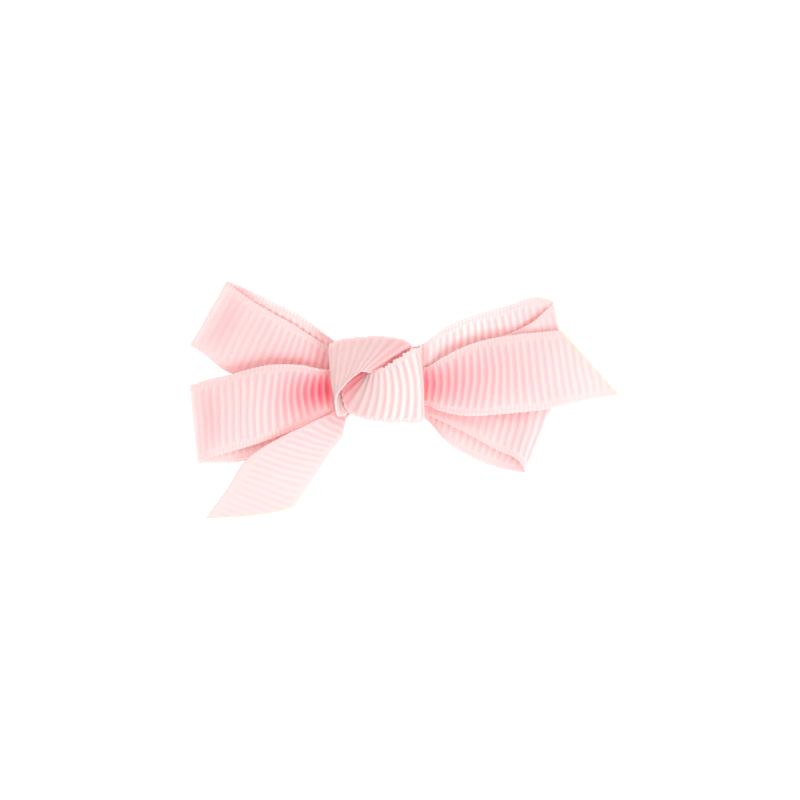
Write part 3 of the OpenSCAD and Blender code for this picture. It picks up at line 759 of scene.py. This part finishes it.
# Trimmed to the arm's outline, narrow at the tip and round at both ends
def linerPath(lining):
    low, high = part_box("clip_liner")
    tip, heel = low.x / mm, high.x / mm
    heelRound, tipRound = high.y / mm, lining["tipHalf"]
    level = (low.z + high.z) / 2 / mm
    path = []
    for x in np.linspace(tip + lining["endGap"], heel - lining["endGap"], lining["stations"]):
        share = (x - tip) / (heel - tip)
        half = tipRound + (heelRound - tipRound) * share
        for inset, corner in ((x - tip, tipRound), (heel - x, heelRound)):
            if inset < corner:
                half = min(half, math.sqrt(corner**2 - (corner - inset) ** 2))
        path.append(station((x, half, level), (x, -half, level)))
    return path


linerSpec["path"] = linerPath(linerSpec)
liner, _, _ = ribbon("clip-liner", linerSpec, linerPink)
declareRibbon(liner, "clip_liner")


# Power of a number's size that keeps its sign, which squares off a round outline
def squaredOff(value, power):
    return np.sign(value) * np.abs(value) ** power


# Quads between rings of points, each ring after the last
def ringFaces(rings, sides):
    faces = []
    for i in range(rings - 1):
        for k in range(sides):
            after = (k + 1) % sides
            faces.append([i * sides + k, i * sides + after, (i + 1) * sides + after, (i + 1) * sides + k])
    return faces


# Two directions square to a curve at each of its points
def squareAxes(points):
    forward = np.gradient(points, axis=0)
    forward /= np.linalg.norm(forward, axis=1, keepdims=True)
    level = np.cross(forward, (1.0, 0, 0))
    level /= np.linalg.norm(level, axis=1, keepdims=True)
    return level, np.cross(forward, level)


# Round tube along points in millimetres, with closed ends
def tube(points, radius, sides):
    level, upright = squareAxes(points)
    turns = np.arange(sides) * math.tau / sides
    ring = np.cos(turns)[None, :, None] * level[:, None] + np.sin(turns)[None, :, None] * upright[:, None]
    skin = (points[:, None] + ring * radius).reshape(-1, 3)
    faces = ringFaces(len(points), sides)
    faces += [list(range(sides))[::-1], [(len(points) - 1) * sides + k for k in range(sides)]]
    return skin, faces


threadSpec = {
    "turns": 3,             # round the waist
    "pitch": 0.55,          # from one turn to the next
    "halfY": 4.05,          # half of the waist's height
    "halfZ": 1.76,          # half of its depth
    "midZ": 9.06,
    "square": 0.4,          # below 1 squares off the oval
    "ply": 0.115,           # radius of a ply
    "plyShift": 0.75,       # of a ply's middle from the thread's, in radii
    "twist": 0.85,          # length of one full twist
    "steps": 1500,
    "sides": 8,
}


# Two twisted plies wound round the waist in a flat oval
def bindingThread(spec):
    angles = np.linspace(0, math.tau * spec["turns"], spec["steps"])
    centre = np.stack([spec["pitch"] * (angles / math.tau - spec["turns"] / 2),
                       spec["halfY"] * squaredOff(np.cos(angles), spec["square"]),
                       spec["midZ"] + spec["halfZ"] * squaredOff(np.sin(angles), spec["square"])], 1)
    gone = np.concatenate([[0], np.cumsum(np.linalg.norm(np.diff(centre, axis=0), axis=1))])
    even = np.linspace(0, gone[-1], spec["steps"])
    centre = np.stack([np.interp(even, gone, centre[:, k]) for k in range(3)], 1)
    level, upright = squareAxes(centre)
    vertices, faces = [], []
    for ply in range(2):
        turn = (even / spec["twist"] + ply / 2) * math.tau
        shift = np.cos(turn)[:, None] * level + np.sin(turn)[:, None] * upright
        skin, plyFaces = tube(centre + shift * spec["ply"] * spec["plyShift"], spec["ply"], spec["sides"])
        faces += [[i + len(vertices) for i in f] for f in plyFaces]
        vertices += skin.tolist()
    mesh = bpy.data.meshes.new("binding-thread")
    mesh.from_pydata((np.array(vertices) * mm).tolist(), [], faces)
    addAttribute(mesh, "ribShading", np.ones(len(vertices)))
    for name in ("selvage", "sealed", "paintedShade", "paintedHighlight"):
        addAttribute(mesh, name, np.zeros(len(vertices)))
    layer = mesh.uv_layers.new(name="cloth")
    corner = np.array([loop.vertex_index for loop in mesh.loops]) % (spec["steps"] * spec["sides"])
    spots = np.stack([corner // spec["sides"] * 0.005, corner % spec["sides"] * 0.02], 1)
    layer.data.foreach_set("uv", spots.astype(np.float32).ravel())
    return linkPiece("binding-thread", mesh, threadPink)


thread = bindingThread(threadSpec)
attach(thread, "bow")
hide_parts("binding_thread")

glueSpec = {"squareness": 0.55, "wobble": 0.07, "rings": 24, "sides": 48}


# Squeezed drop of glue in the space of its node
def glueDrop(name, node, seed, drop):
    low, high = (np.array(c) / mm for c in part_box(node))
    centre, half = (low + high) / 2, (high - low) / 2
    rings, sides = drop["rings"], drop["sides"]
    vertices = []
    for i in range(1, rings):
        tall = -math.pi / 2 + math.pi * i / rings
        outward = squaredOff(math.cos(tall), drop["squareness"])
        for k in range(sides):
            turn = math.tau * k / sides
            bulge = float(drift(3 * math.cos(turn), 3 * math.sin(turn) + tall, 4, seed))
            swell = 1 - drop["wobble"] + drop["wobble"] * bulge
            vertices.append(centre + half * (outward * squaredOff(math.cos(turn), drop["squareness"]) * swell,
                                             outward * squaredOff(math.sin(turn), drop["squareness"]) * swell,
                                             squaredOff(math.sin(tall), drop["squareness"])))
    faces = ringFaces(rings - 1, sides)
    for pole, ring, turned in ((-1, 0, True), (1, rings - 2, False)):
        tip = len(vertices)
        vertices.append(centre + half * (0, 0, pole))
        for k in range(sides):
            pair = [ring * sides + k, ring * sides + (k + 1) % sides]
            faces.append([tip] + (pair[::-1] if turned else pair))
    mesh = bpy.data.meshes.new(name)
    mesh.from_pydata([tuple(v * mm) for v in vertices], [], faces)
    piece = linkPiece(name, mesh, glue)
    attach(piece, "bow")
    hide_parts(node)


glueDrop("glue-left", "left_glue_pad", 41, glueSpec)
glueDrop("glue-right", "right_glue_pad", 42, glueSpec)
glueDrop("glue-knot", "knot_glue", 43, glueSpec)
print("liner, thread and glue made")

# The clip keeps its own shapes and takes its finishes
finishes = {
    "lower_jaw": platedSteel,
    "upper_arm": platedSteel,
    "hinge_pin": platedSteel,
    "spring_coil": springSteel,
    "spring_upper_leg": springSteel,
    "grip_pad": silicone,
}
for node, material in finishes.items():
    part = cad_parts[node]
    part.data.materials.clear()
    part.data.materials.append(material)
print("clip finished")

# White sweep, soft light all round and a camera straight above the bow's front, in metres and watts
stage = {
    "floorHalf": 2,
    "floorTone": 0.45,
    "floorGlow": 0.8,
    "world": 0.93,
    "key": 0.95,
    "keyPlace": (0.24, -0.24, 0.29),
    "keySize": 0.26,
    "fill": 0.2,
    "fillPlace": (-0.22, 0.20, 0.30),
    "fillSize": 0.30,
    "middle": (0.003, -0.003, 0.010),
    "cameraPlace": (0.00296, -0.00296, 0.324),
    "lens": 100,            # millimetres
    "sensor": 36,
}


def makeFloor():
    reach = stage["floorHalf"]
    mesh = bpy.data.meshes.new("floor")
    mesh.from_pydata([(-reach, -reach, 0), (reach, -reach, 0), (reach, reach, 0), (-reach, reach, 0)],
                     [], [(0, 1, 2, 3)])
    paper, _, _, shader = startMaterial("white paper sweep")
    tone = stage["floorTone"]
    setSockets(shader, {"Base Color": (tone, tone, tone, 1), "Roughness": 0.9,
                        "Emission Color": (1, 1, 1, 1), "Emission Strength": stage["floorGlow"]})
    linkPiece("floor", mesh, paper)


def makeWorld():
    world = bpy.data.worlds.new("studio")
    bpy.context.scene.world = world
    world.use_nodes = True
    setSockets(world.node_tree.nodes["Background"], {"Color": (1, 1, 1, 1), "Strength": stage["world"]})


def softbox(name, place, size, watts):
    lamp = bpy.data.lights.new(name, "AREA")
    lamp.shape = "SQUARE"
    lamp.size = size
    lamp.energy = watts
    box = bpy.data.objects.new(name, lamp)
    box.location = place
    box.rotation_euler = (Vector(stage["middle"]) - Vector(place)).to_track_quat("-Z", "Y").to_euler()
    bpy.context.collection.objects.link(box)


makeFloor()
makeWorld()
softbox("key", stage["keyPlace"], stage["keySize"], stage["key"])
softbox("fill", stage["fillPlace"], stage["fillSize"], stage["fill"])

camera = bpy.data.objects.new("camera", bpy.data.cameras.new("camera"))
camera.data.lens = stage["lens"]
camera.data.sensor_width = stage["sensor"]
camera.location = stage["cameraPlace"]
bpy.context.collection.objects.link(camera)
bpy.context.scene.camera = camera
bpy.context.scene.view_settings.view_transform = "Standard"
print("stage, light and camera made")
